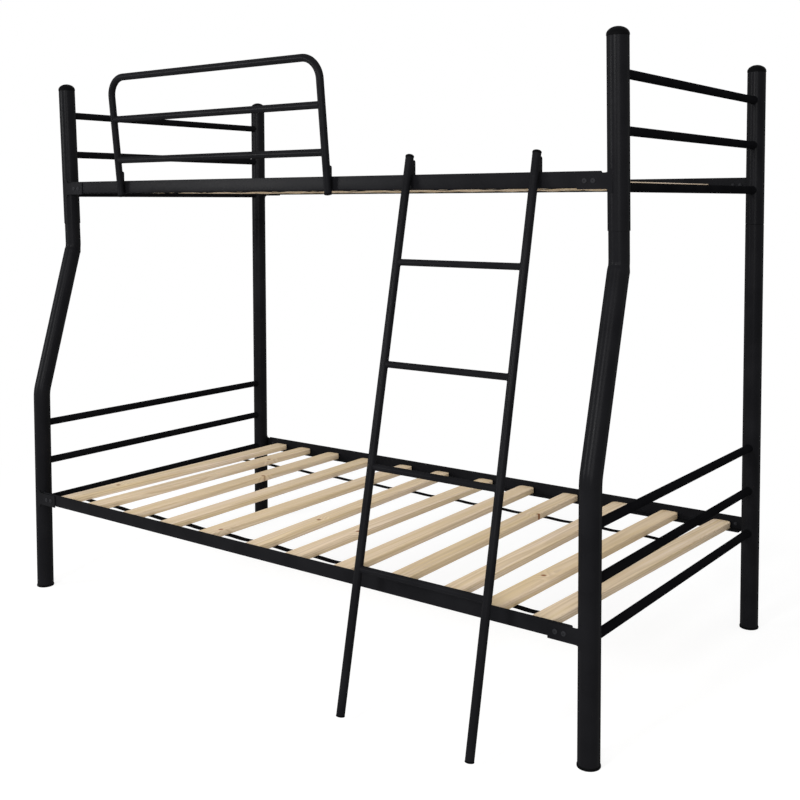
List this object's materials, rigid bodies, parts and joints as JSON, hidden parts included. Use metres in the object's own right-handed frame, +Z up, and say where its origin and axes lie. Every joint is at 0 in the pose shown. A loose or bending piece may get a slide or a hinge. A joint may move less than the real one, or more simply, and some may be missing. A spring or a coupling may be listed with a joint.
{
  "type": "bunk bed with ladder",
  "caption": "Steel-tube bunk bed with a narrower upper bed on kinked front posts, slatted decks, a guard rail and a ladder that hooks over the upper rail.",
  "frame": {"origin": "on the floor, at the middle of the bounding box, which includes the ladder's feet in front", "axes": "+X along the bed from the guard-rail end to the ladder end, +Y from the front to the back, +Z up"},
  "size_m": [2.0136, 1.2196, 1.6304],
  "materials": {
    "powder_coat": "satin black powder coat",
    "black_plastic": "moulded black plastic",
    "pine": "planed, untreated pine"
  },
  "bodies": {
    "bed": {"foot_back_left": "black_plastic", "foot_back_right": "black_plastic", "foot_front_left": "black_plastic", "foot_front_right": "black_plastic", "guard_rail": "powder_coat", "lower_end_bar_left_bottom": "powder_coat", "lower_end_bar_left_middle": "powder_coat", "lower_end_bar_left_top": "powder_coat", "lower_end_bar_right_bottom": "powder_coat", "lower_end_bar_right_middle": "powder_coat", "lower_end_bar_right_top": "powder_coat", "lower_post_back_left": "powder_coat", "lower_post_back_right": "powder_coat", "lower_post_front_left": "powder_coat", "lower_post_front_right": "powder_coat", "lower_rail_back": "powder_coat", "lower_rail_front": "powder_coat", "lower_slat_01": "pine", "lower_slat_02": "pine", "lower_slat_03": "pine", "lower_slat_04": "pine", "lower_slat_05": "pine", "lower_slat_06": "pine", "lower_slat_07": "pine", "lower_slat_08": "pine", "lower_slat_09": "pine", "lower_slat_10": "pine", "lower_slat_11": "pine", "lower_slat_12": "pine", "post_cap_back_left": "black_plastic", "post_cap_back_right": "black_plastic", "post_cap_front_left": "black_plastic", "post_cap_front_right": "black_plastic", "upper_end_bar_left_bottom": "powder_coat", "upper_end_bar_left_middle": "powder_coat", "upper_end_bar_left_top": "powder_coat", "upper_end_bar_right_bottom": "powder_coat", "upper_end_bar_right_middle": "powder_coat", "upper_end_bar_right_top": "powder_coat", "upper_post_back_left": "powder_coat", "upper_post_back_right": "powder_coat", "upper_post_front_left": "powder_coat", "upper_post_front_right": "powder_coat", "upper_rail_back": "powder_coat", "upper_rail_front": "powder_coat", "upper_slat_01": "pine", "upper_slat_02": "pine", "upper_slat_03": "pine", "upper_slat_04": "pine", "upper_slat_05": "pine", "upper_slat_06": "pine", "upper_slat_07": "pine", "upper_slat_08": "pine", "upper_slat_09": "pine", "upper_slat_10": "pine", "upper_slat_11": "pine", "upper_slat_12": "pine"},
    "ladder": {"ladder": "powder_coat", "ladder_foot_left": "black_plastic", "ladder_foot_right": "black_plastic"}
  },
  "joints": [
    {"name": "ladder_slide", "type": "slide", "parent": "bed", "child": "ladder", "axis": [1, 0, 0], "range_m": [-0.235, 0.085]}
  ]
}
